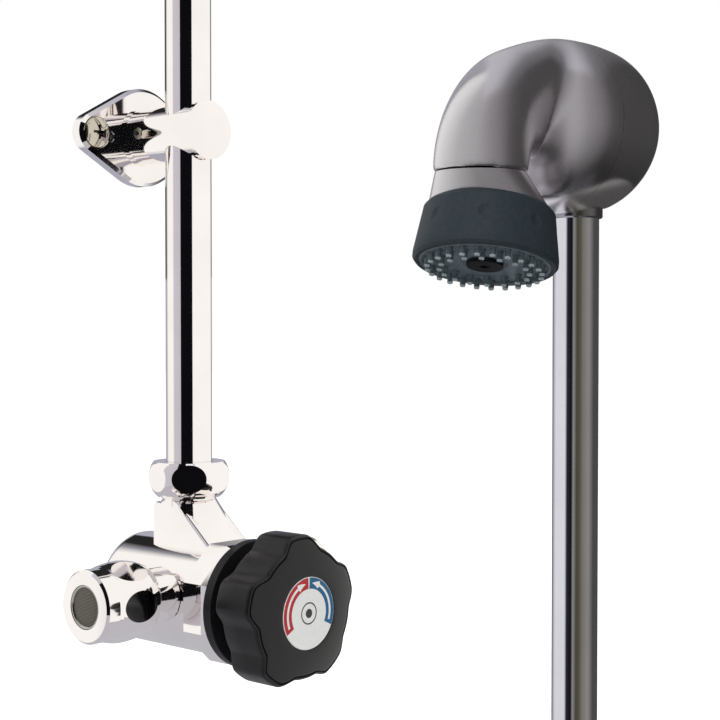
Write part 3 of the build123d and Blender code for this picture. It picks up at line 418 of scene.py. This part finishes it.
# Upper tube: drawn brass tube, chrome plated, with a short turned ring under the shower head. The
# ring is a shade darker, because it sits in the shadow of the ball.
dress(plated("grey_tube", (0.95, 0.94, 0.95)), "upper_tube")
dress(plated("shaded_ring", (0.42, 0.41, 0.43), gloss=0.12), "head_tube_ring")

# Shower head: two thin cast shells, polished to a soft grey chrome. The hood flows out of the round
# ball in one skin, so both shells are smoothed together and cut apart again at the seam.
ball_centre = Vector((0.0921, -0.1267, 0.0009))
seam_x = ball_centre.x - 0.016
hood_x = seam_x - 0.004
seam_half_gap = 0.00006
skin_voxel = 0.0008
even_turns, all_turns, turns_per_update = 8, 60, 6
fill_from, fill_rise = -0.004, 0.012
soft_chrome = plated("soft_chrome", (0.96, 0.935, 0.95), gloss=0.25, cloud=0.04, ripple=0.008)
bpy.ops.object.select_all(action="DESELECT")
copies = []
for node in ("head_front_shell", "head_rear_shell"):
    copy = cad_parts[node].copy()
    copy.data = copy.data.copy()
    # a copy is no node of the frame, so it drops the marks that make it one
    for key in list(copy.keys()):
        del copy[key]
    copy.parent = None
    copy.matrix_world = Matrix.Identity(4)
    bpy.context.scene.collection.objects.link(copy)
    copies.append(copy)
for copy in copies:
    copy.select_set(True)
bpy.context.view_layer.objects.active = copies[0]
bpy.ops.object.join()
skin = bpy.context.object
bpy.ops.object.mode_set(mode="EDIT")
bpy.ops.mesh.select_all(action="SELECT")
bpy.ops.mesh.remove_doubles(threshold=1e-5)
bpy.ops.object.mode_set(mode="OBJECT")
remesh = skin.modifiers.new("skin", "REMESH")
remesh.mode = "VOXEL"
remesh.voxel_size = skin_voxel
bpy.ops.object.modifier_apply(modifier="skin")
mesh = bmesh.new()
mesh.from_mesh(skin.data)
# The first turns even out the skin. Then the corner where the hood meets the ball is filled from
# outside, strongest above and fading below, by moves towards the neighbours that only go outwards.
outer = [vertex for vertex in mesh.verts
         if vertex.normal.dot(vertex.co - ball_centre) > 0 or vertex.co.x < hood_x]
for turn in range(all_turns):
    moves = []
    for vertex in outer:
        mean = Vector((0, 0, 0))
        for edge in vertex.link_edges:
            mean += edge.other_vert(vertex).co
        shift = mean / len(vertex.link_edges) - vertex.co
        height = vertex.co.z - ball_centre.z
        strength = min(max((height - fill_from) / fill_rise, 0.0), 1.0)
        out = shift.dot(vertex.normal)
        if turn < even_turns:
            moves.append((vertex, shift * 0.5))
        elif out > 0 and strength > 0:
            moves.append((vertex, vertex.normal * out * strength))
    for vertex, shift in moves:
        vertex.co += shift
    if turn % turns_per_update == turns_per_update - 1:
        mesh.normal_update()
mesh.to_mesh(skin.data)
mesh.free()
halves = []
for name, keep_front in (("hood_shell", True), ("ball_back_shell", False)):
    bpy.ops.object.select_all(action="DESELECT")
    half = skin.copy()
    half.data = skin.data.copy()
    bpy.context.scene.collection.objects.link(half)
    half.select_set(True)
    bpy.context.view_layer.objects.active = half
    bpy.ops.object.mode_set(mode="EDIT")
    bpy.ops.mesh.select_all(action="SELECT")
    edge_x = seam_x - seam_half_gap if keep_front else seam_x + seam_half_gap
    bpy.ops.mesh.bisect(plane_co=(edge_x, 0, 0), plane_no=(1, 0, 0), clear_outer=keep_front,
                        clear_inner=not keep_front)
    bpy.ops.mesh.select_all(action="DESELECT")
    bpy.ops.mesh.select_non_manifold()
    bpy.ops.mesh.bridge_edge_loops()
    bpy.ops.object.mode_set(mode="OBJECT")
    half.name = name
    half.data.materials.clear()
    half.data.materials.append(soft_chrome)
    bpy.ops.object.shade_smooth_by_angle(angle=radians(50))
    halves.append(half)
bpy.data.objects.remove(skin)
for half, node in zip(halves, ("head_front_shell", "head_rear_shell")):
    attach(half, "root")
    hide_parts(node)
dress(soft_chrome, "head_skirt")

# Inside the head: a brass waterway from the tube to the spray chamber, with a rubber seal and a
# moulded flow regulator. Hidden by the shells.
dress(turned_brass, "waterway")
dress(dark_rubber, "head_seal")
dress(white_moulding, "flow_regulator")

# Spray ring: grip of soft-touch grey moulding with finger dimples round its side. It screws over the
# spray chamber and holds the plate.
dress(moulded("ring_grey", (0.017, 0.026, 0.034), (0.024, 0.034, 0.043), rough=0.52, gleam=0.4), "spray_ring")

# Spray plate: grey-blue moulded face with a thin raised rim and two circles of rubber nozzles, each a
# short hollow peg whose lip is painted paler as a painted highlight, held by one dark screw in the middle.
face_middle = Vector((0.0394, -0.1267, -0.0473))
spray_way = Vector((-0.2577, -0.0926, -0.9618)).normalized()
level_way = (Vector((1, 0, 0)) - spray_way * spray_way.x).normalized()
spray_place = facing(face_middle, spray_way, level_way)
plate_r, plate_steps = 0.0216, 96
screw_well_r = 0.0075
plate_profile = [(plate_r - 0.0006, -0.0034), (plate_r, -0.0030), (plate_r, -0.0003),
                 (plate_r - 0.0003, 0.0001), (plate_r - 0.0010, 0.0001), (plate_r - 0.0013, -0.0002),
                 (plate_r - 0.0014, -0.0006), (screw_well_r, -0.0006), (screw_well_r - 0.0004, -0.0009)]
plate_blue = moulded("plate_blue", (0.075, 0.10, 0.12), (0.095, 0.125, 0.148), rough=0.42)
plate = build_up("spray_face", plate_profile, plate_steps, spray_place)
plate.data.materials.append(plate_blue)
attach(plate, "root")
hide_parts("spray_plate")
nozzle_blue = moulded("nozzle_blue", (0.045, 0.068, 0.082), (0.06, 0.088, 0.104), rough=0.28, gleam=0.8)
# the paler lip colour is a painted highlight on the tip of each nozzle, not a colour of the rubber
nozzle_lip_highlight = moulded("nozzle_lip_highlight", (0.30, 0.35, 0.37), (0.36, 0.41, 0.43), rough=0.3, gleam=0.8)
nozzle_r, nozzle_steps = 0.00105, 14
lip_r, highlight_from = nozzle_r * 0.42, 0.0021
nozzle_profile = [(nozzle_r + 0.0003, -0.0008), (nozzle_r + 0.0002, -0.0004), (nozzle_r, -0.0001),
                  (nozzle_r * 0.92, 0.0022), (nozzle_r * 0.80, 0.0027), (nozzle_r * 0.5, 0.0028),
                  (lip_r, 0.0026), (nozzle_r * 0.36, 0.0014)]
# each circle is its radius, how many nozzles it has, and its turn in steps
nozzle_circles = ((0.0186, 24, 0.0), (0.0146, 16, 0.5))
for circle, (circle_r, count, offset) in enumerate(nozzle_circles, start=1):
    for number in range(count):
        turn = 2 * pi * (number + offset) / count
        foot = spray_place @ Matrix.Translation((circle_r * cos(turn), circle_r * sin(turn), 0))
        peg = build_up(f"nozzle_{circle}_{number + 1:02d}", nozzle_profile, nozzle_steps, foot, smooth=40)
        peg.data.materials.append(nozzle_blue)
        peg.data.materials.append(nozzle_lip_highlight)
        # faces on the lip get the paler colour: the painted highlight
        inverse = foot.inverted()
        for face in peg.data.polygons:
            middle = inverse @ face.center
            if middle.z > highlight_from and middle.xy.length > lip_r:
                face.material_index = 1
        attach(peg, "root")
dress(black_and_painted_shade, "face_screw")

# Studio cards: two open tents of glowing boards, one round each unit, for the bright metal to mirror.
# Nothing but a mirror sees them. Their corners are given across the picture and away from the camera.
across = Vector((0.6652, -0.7466, 0.0))
away = Vector((0.7466, 0.6652, 0.0))
card_foot, card_top, low_board_top = -0.2215, 0.24, -0.045
left_side, left_of_middle, right_of_middle, right_side = -0.140, 0.0875, 0.0885, 0.276
left_front, right_front, rear = -0.26, -0.135, 0.17
board_gap = 0.002
fall_low, fall_high = -0.13, -0.01
white = (1, 0.985, 0.97)
black = (0.004, 0.004, 0.005)
coal = (0.02, 0.02, 0.02)
dusk = (0.3, 0.3, 0.33)
lilac = (0.42, 0.42, 0.5)
lavender = (0.33, 0.325, 0.37)
slate = (0.085, 0.082, 0.083)


def card(name, start, finish, bottom, top, colours, foot=1.0):
    """Upright card from start to finish, each (across, away), with its colours along it.

    Its light falls off below the shower head to the share that foot gives.
    """
    first_corner = across * start[0] + away * start[1]
    run = across * finish[0] + away * finish[1] - first_corner
    bpy.ops.object.select_all(action="DESELECT")
    bpy.ops.mesh.primitive_plane_add(size=1.0)
    plane = bpy.context.object
    plane.name = name
    for vertex in plane.data.vertices:
        spot = first_corner + run * (vertex.co.x + 0.5)
        vertex.co = (spot.x, spot.y, bottom + (top - bottom) * (vertex.co.y + 0.5))
    light = bpy.data.materials.new(name)
    light.use_nodes = True
    tree = light.node_tree
    tree.nodes.remove(tree.nodes["Principled BSDF"])
    glow = tree.nodes.new("ShaderNodeEmission")
    tree.links.new(glow.outputs["Emission"], tree.nodes["Material Output"].inputs["Surface"])
    place = tree.nodes.new("ShaderNodeTexCoord")
    along = tree.nodes.new("ShaderNodeVectorMath")
    along.operation = "DOT_PRODUCT"
    along.inputs[1].default_value = run / run.length_squared
    tree.links.new(place.outputs["Object"], along.inputs[0])
    shift = tree.nodes.new("ShaderNodeMath")
    shift.operation = "SUBTRACT"
    shift.inputs[1].default_value = first_corner.dot(run) / run.length_squared
    tree.links.new(along.outputs["Value"], shift.inputs[0])
    ramp = tree.nodes.new("ShaderNodeValToRGB")
    stops = ramp.color_ramp.elements
    stops.remove(stops[0])
    for i, (where, tone) in enumerate(colours):
        stop = stops.new(where) if i else stops[0]
        stop.position = where
        stop.color = (*tone, 1)
    tree.links.new(shift.outputs["Value"], ramp.inputs["Fac"])
    tree.links.new(ramp.outputs["Color"], glow.inputs["Color"])
    if foot < 1.0:
        height = tree.nodes.new("ShaderNodeSeparateXYZ")
        tree.links.new(place.outputs["Object"], height.inputs["Vector"])
        fall = tree.nodes.new("ShaderNodeMapRange")
        fall.inputs["From Min"].default_value = fall_low
        fall.inputs["From Max"].default_value = fall_high
        fall.inputs["To Min"].default_value = foot
        tree.links.new(height.outputs["Z"], fall.inputs["Value"])
        tree.links.new(fall.outputs["Result"], glow.inputs["Strength"])
    plane.data.materials.append(light)
    plane.visible_camera = False
    plane.visible_diffuse = False
    plane.visible_shadow = False
    return plane


def at(first, last, spots):
    """Colours given by their place along a card, made into shares of its length."""
    return [((where - first) / (last - first), tone) for where, tone in spots]


def plain(tone):
    """One colour all along a card."""
    return [(0.0, tone), (1.0, tone)]


card("left_wall", (left_side, left_front), (left_side, rear), card_foot, card_top,
     at(left_front, rear, [(left_front, (0.55, 0.55, 0.6)), (-0.075, (0.6, 0.59, 0.64)), (-0.058, white),
                           (0.06, white), (0.11, dusk), (rear, coal)]))
card("left_front", (-0.36, left_front), (0.170, left_front), card_foot, card_top,
     at(-0.36, 0.17, [(-0.36, (0.8, 0.8, 0.82)), (-0.200, (0.6, 0.6, 0.63)), (-0.155, (0.2, 0.2, 0.22)),
                      (-0.148, black), (0.128, black), (0.133, white), (0.17, white)]))
card("left_back", (left_side, rear), (left_of_middle, rear), card_foot, card_top, plain(coal))
card("left_divider", (left_of_middle, right_front), (left_of_middle, rear), card_foot, card_top,
     at(right_front, rear, [(right_front, white), (0.06, white), (0.11, dusk), (rear, coal)]))
card("right_divider", (right_of_middle, right_front), (right_of_middle, rear), card_foot, card_top,
     at(right_front, rear, [(right_front, (0.34, 0.33, 0.34)), (-0.08, (0.42, 0.415, 0.42)),
                            (-0.05, (0.74, 0.74, 0.73)), (-0.0275, (0.78, 0.78, 0.765)), (-0.0262, black),
                            (-0.0185, black), (-0.017, lavender), (rear, (0.3, 0.3, 0.34))]), foot=0.2)
card("right_front", (right_of_middle, right_front), (right_side, right_front), card_foot, card_top,
     at(right_of_middle, right_side, [(right_of_middle, (0.38, 0.375, 0.38)), (0.114, (0.32, 0.312, 0.318)),
                                      (0.139, (0.245, 0.236, 0.244)), (0.17, (0.2, 0.191, 0.2)),
                                      (0.2, (0.16, 0.153, 0.158)), (0.245, (0.115, 0.11, 0.113)),
                                      (right_side, slate)]), foot=0.2)
card("right_wall", (right_side, right_front), (right_side, rear), card_foot, card_top,
     at(right_front, rear, [(right_front, slate), (-0.07, (0.062, 0.06, 0.06)),
                            (rear, (0.045, 0.045, 0.045))]), foot=0.3)
card("right_back", (right_of_middle, rear), (right_side, rear), card_foot, card_top,
     [(0.0, (0.3, 0.3, 0.34)), (1.0, (0.06, 0.06, 0.065))], foot=0.4)
# low lilac boards behind the valve, for its level top faces
low_rear = rear - board_gap
card("left_back_low", (-0.139, low_rear), (0.087, low_rear), card_foot, low_board_top, plain(lilac))
card("left_wall_low", (-0.1385, 0.085), (-0.1385, low_rear), card_foot, low_board_top,
     [(0.0, white), (0.3, lilac), (1.0, lilac)])

# Light shell: a glowing tube close round the upper tube, seen by mirrors from inside alone. Each panel
# stands where the tube mirrors it at a share of its width, from -1 at the left edge to 1 at the right.
shell_r, shell_top, shell_steps = 0.025, -0.0235, 96
upper_tube_r = 0.008
panels = [(-0.99, (0.12, 0.12, 0.13)), (-0.88, (0.70, 0.70, 0.75)), (-0.52, (0.70, 0.70, 0.75)),
          (-0.44, (0.02, 0.022, 0.03)), (-0.24, (0.005, 0.005, 0.008)), (-0.17, (0.26, 0.25, 0.24)),
          (-0.03, (0.06, 0.06, 0.05)), (0.12, (0.09, 0.085, 0.065)), (0.24, (0.18, 0.17, 0.15)),
          (0.50, (0.25, 0.24, 0.24)), (0.72, (0.07, 0.068, 0.068)), (0.98, (0.065, 0.063, 0.065))]


def round_tube(width_share):
    """Angle on the shell, from the side facing the camera, that the tube mirrors at this share."""
    turn = asin(width_share)
    x, y = upper_tube_r * cos(turn), upper_tube_r * sin(turn)
    along = -x * cos(2 * turn) - y * sin(2 * turn)
    reach = along + sqrt(along * along - upper_tube_r ** 2 + shell_r ** 2)
    return atan2(y + reach * sin(2 * turn), x + reach * cos(2 * turn))


bpy.ops.object.select_all(action="DESELECT")
bpy.ops.mesh.primitive_cylinder_add(vertices=shell_steps, radius=shell_r, depth=shell_top - card_foot,
                                    end_fill_type="NOTHING",
                                    location=(ball_centre.x, ball_centre.y, (shell_top + card_foot) / 2))
shell = bpy.context.object
shell.name = "tube_light_shell"
bpy.ops.object.transform_apply(location=True)
glow_panels = bpy.data.materials.new("tube_light_shell")
glow_panels.use_nodes = True
tree = glow_panels.node_tree
tree.nodes.remove(tree.nodes["Principled BSDF"])
place = tree.nodes.new("ShaderNodeTexCoord")
centred = tree.nodes.new("ShaderNodeVectorMath")
centred.operation = "SUBTRACT"
centred.inputs[1].default_value = (ball_centre.x, ball_centre.y, 0)
tree.links.new(place.outputs["Object"], centred.inputs[0])
turned_by = tree.nodes.new("ShaderNodeMath")
turned_by.operation = "ARCTAN2"
for i, direction in enumerate((across, -away)):
    part_of = tree.nodes.new("ShaderNodeVectorMath")
    part_of.operation = "DOT_PRODUCT"
    part_of.inputs[1].default_value = direction
    tree.links.new(centred.outputs["Vector"], part_of.inputs[0])
    tree.links.new(part_of.outputs["Value"], turned_by.inputs[i])
share = tree.nodes.new("ShaderNodeMapRange")
share.inputs["From Min"].default_value = -pi
share.inputs["From Max"].default_value = pi
tree.links.new(turned_by.outputs["Value"], share.inputs["Value"])
ramp = tree.nodes.new("ShaderNodeValToRGB")
for i, (width_share, tone) in enumerate(panels):
    spot = (round_tube(width_share) + pi) / (2 * pi)
    stop = ramp.color_ramp.elements[i] if i < 2 else ramp.color_ramp.elements.new(spot)
    stop.position = spot
    stop.color = (*tone, 1)
tree.links.new(share.outputs["Result"], ramp.inputs["Fac"])
glow = tree.nodes.new("ShaderNodeEmission")
tree.links.new(ramp.outputs["Color"], glow.inputs["Color"])
clear = tree.nodes.new("ShaderNodeBsdfTransparent")
facing_in = tree.nodes.new("ShaderNodeNewGeometry")
one_way = tree.nodes.new("ShaderNodeMixShader")
tree.links.new(facing_in.outputs["Backfacing"], one_way.inputs["Fac"])
tree.links.new(clear.outputs["BSDF"], one_way.inputs[1])
tree.links.new(glow.outputs["Emission"], one_way.inputs[2])
tree.links.new(one_way.outputs["Shader"], tree.nodes["Material Output"].inputs["Surface"])
shell.data.materials.append(glow_panels)
shell.visible_camera = False
shell.visible_diffuse = False
shell.visible_shadow = False


# Overhead boards: a soft ceiling over each unit and a black flag over the front of the lower one,
# mirrored by the tops of the nuts, the barrel and the ball.
def ceiling(name, start, finish, depth, height, colours):
    """Level card overhead, as wide as its depth says; its colours run from start to finish."""
    plane = card(name, start, finish, 0.0, 1.0, colours)
    run = (across * (finish[0] - start[0]) + away * (finish[1] - start[1])).normalized()
    for vertex in plane.data.vertices:
        aside = depth * (vertex.co.z - 0.5)
        vertex.co = (vertex.co.x - run.y * aside, vertex.co.y + run.x * aside, height)


ceiling("left_ceiling", (-0.13, -0.30), (-0.13, 0.18), 0.46, 0.239,
        [(0.0, white), (0.5, white), (0.62, lilac), (0.8, lilac), (1.0, (0.1, 0.1, 0.12))])
ceiling("left_flag", (-0.09, -0.265), (-0.09, -0.15), 0.16, 0.2380, plain(black))
ceiling("right_ceiling", (0.085, 0.0), (0.28, 0.0), 0.36, 0.15,
        [(0.0, (0.5, 0.49, 0.54)), (0.28, (0.46, 0.45, 0.49)), (0.45, (0.33, 0.32, 0.345)),
         (0.62, (0.17, 0.166, 0.176)), (1.0, (0.08, 0.078, 0.08))])

# Floor: a pale plain ground just under the foot of the upper tube. It looks white to the camera, keeps
# the shadow, and mirrors see it bright under the lower unit and dark under the shower head.
floor_size, floor_z = 6.0, -0.222
floor_lift = 0.6
bright_floor, dark_floor = 0.55, 0.06
bright_to, dark_from = 0.08, 0.11
bpy.ops.object.select_all(action="DESELECT")
bpy.ops.mesh.primitive_plane_add(size=floor_size, location=(0, 0, floor_z))
floor = bpy.context.object
floor.name = "floor"
pale = bpy.data.materials.new("pale_floor")
pale.use_nodes = True
tree = pale.node_tree
matt = tree.nodes["Principled BSDF"]
matt.inputs["Base Color"].default_value = (0.9, 0.9, 0.9, 1)
matt.inputs["Roughness"].default_value = 0.9
matt.inputs["Specular IOR Level"].default_value = 0.0
ray = tree.nodes.new("ShaderNodeLightPath")
lift = tree.nodes.new("ShaderNodeEmission")
lift.inputs["Color"].default_value = (1, 1, 1, 1)
lift.inputs["Strength"].default_value = floor_lift
plus = tree.nodes.new("ShaderNodeAddShader")
tree.links.new(matt.outputs["BSDF"], plus.inputs[0])
tree.links.new(lift.outputs["Emission"], plus.inputs[1])
seen = tree.nodes.new("ShaderNodeMixShader")
tree.links.new(ray.outputs["Is Camera Ray"], seen.inputs["Fac"])
tree.links.new(matt.outputs["BSDF"], seen.inputs[1])
tree.links.new(plus.outputs["Shader"], seen.inputs[2])
place = tree.nodes.new("ShaderNodeTexCoord")
sideways = tree.nodes.new("ShaderNodeVectorMath")
sideways.operation = "DOT_PRODUCT"
sideways.inputs[1].default_value = across
tree.links.new(place.outputs["Object"], sideways.inputs[0])
shade = tree.nodes.new("ShaderNodeMapRange")
shade.inputs["From Min"].default_value = bright_to
shade.inputs["From Max"].default_value = dark_from
shade.inputs["To Min"].default_value = bright_floor
shade.inputs["To Max"].default_value = dark_floor
tree.links.new(sideways.outputs["Value"], shade.inputs["Value"])
mirror_glow = tree.nodes.new("ShaderNodeEmission")
mirror_glow.inputs["Color"].default_value = (0.93, 0.92, 1.0, 1)
tree.links.new(shade.outputs["Result"], mirror_glow.inputs["Strength"])
mirrored = tree.nodes.new("ShaderNodeMixShader")
tree.links.new(ray.outputs["Is Glossy Ray"], mirrored.inputs["Fac"])
tree.links.new(seen.outputs["Shader"], mirrored.inputs[1])
tree.links.new(mirror_glow.outputs["Emission"], mirrored.inputs[2])
tree.links.new(mirrored.outputs["Shader"], tree.nodes["Material Output"].inputs["Surface"])
floor.data.materials.append(pale)

# Surround: plain white to the camera and to mirrors, and a softer white where it lights plain
# surfaces, so that a colour comes out about as it is written.
room_light = 0.55
world = bpy.data.worlds.new("studio")
bpy.context.scene.world = world
world.use_nodes = True
tree = world.node_tree
ray = tree.nodes.new("ShaderNodeLightPath")
surround = tree.nodes["Background"]
surround.inputs["Color"].default_value = (1, 1, 1, 1)
soft = tree.nodes.new("ShaderNodeBackground")
soft.inputs["Color"].default_value = (1, 1, 1, 1)
soft.inputs["Strength"].default_value = room_light
choose = tree.nodes.new("ShaderNodeMixShader")
tree.links.new(ray.outputs["Is Diffuse Ray"], choose.inputs["Fac"])
tree.links.new(surround.outputs["Background"], choose.inputs[1])
tree.links.new(soft.outputs["Background"], choose.inputs[2])
tree.links.new(choose.outputs["Shader"], tree.nodes["World Output"].inputs["Surface"])

# Lamp: one large square lamp, high up behind the camera and to its left, aimed at the lower unit.
# Mirrors don't see it, so it lights only the moulded pieces, the label and the strainers.
lamp_place, lamp_target = Vector((-0.9, -0.5, 1.1)), Vector((0.03, -0.06, -0.05))
lamp = bpy.data.lights.new("soft_lamp", "AREA")
lamp.shape = "SQUARE"
lamp.size = 1.2
lamp.energy = 14.0
lamp_head = bpy.data.objects.new("soft_lamp", lamp)
bpy.context.scene.collection.objects.link(lamp_head)
lamp_head.location = lamp_place
lamp_head.rotation_euler = (lamp_target - lamp_place).to_track_quat("-Z", "Y").to_euler()
lamp_head.visible_glossy = False

# Camera: fitted to the photograph, from the left and a little below the height of the spray plate,
# tipped down by a degree and a half.
lens = bpy.data.cameras.new("camera")
lens.lens = 75.0
lens.sensor_width = 36.0
camera = bpy.data.objects.new("camera", lens)
bpy.context.scene.collection.objects.link(camera)
camera.location = (-0.34993, -0.41951, -0.06526)
camera.rotation_euler = (radians(88.5), 0, radians(-48.3))
bpy.context.scene.camera = camera

bpy.context.scene.view_settings.view_transform = "Standard"
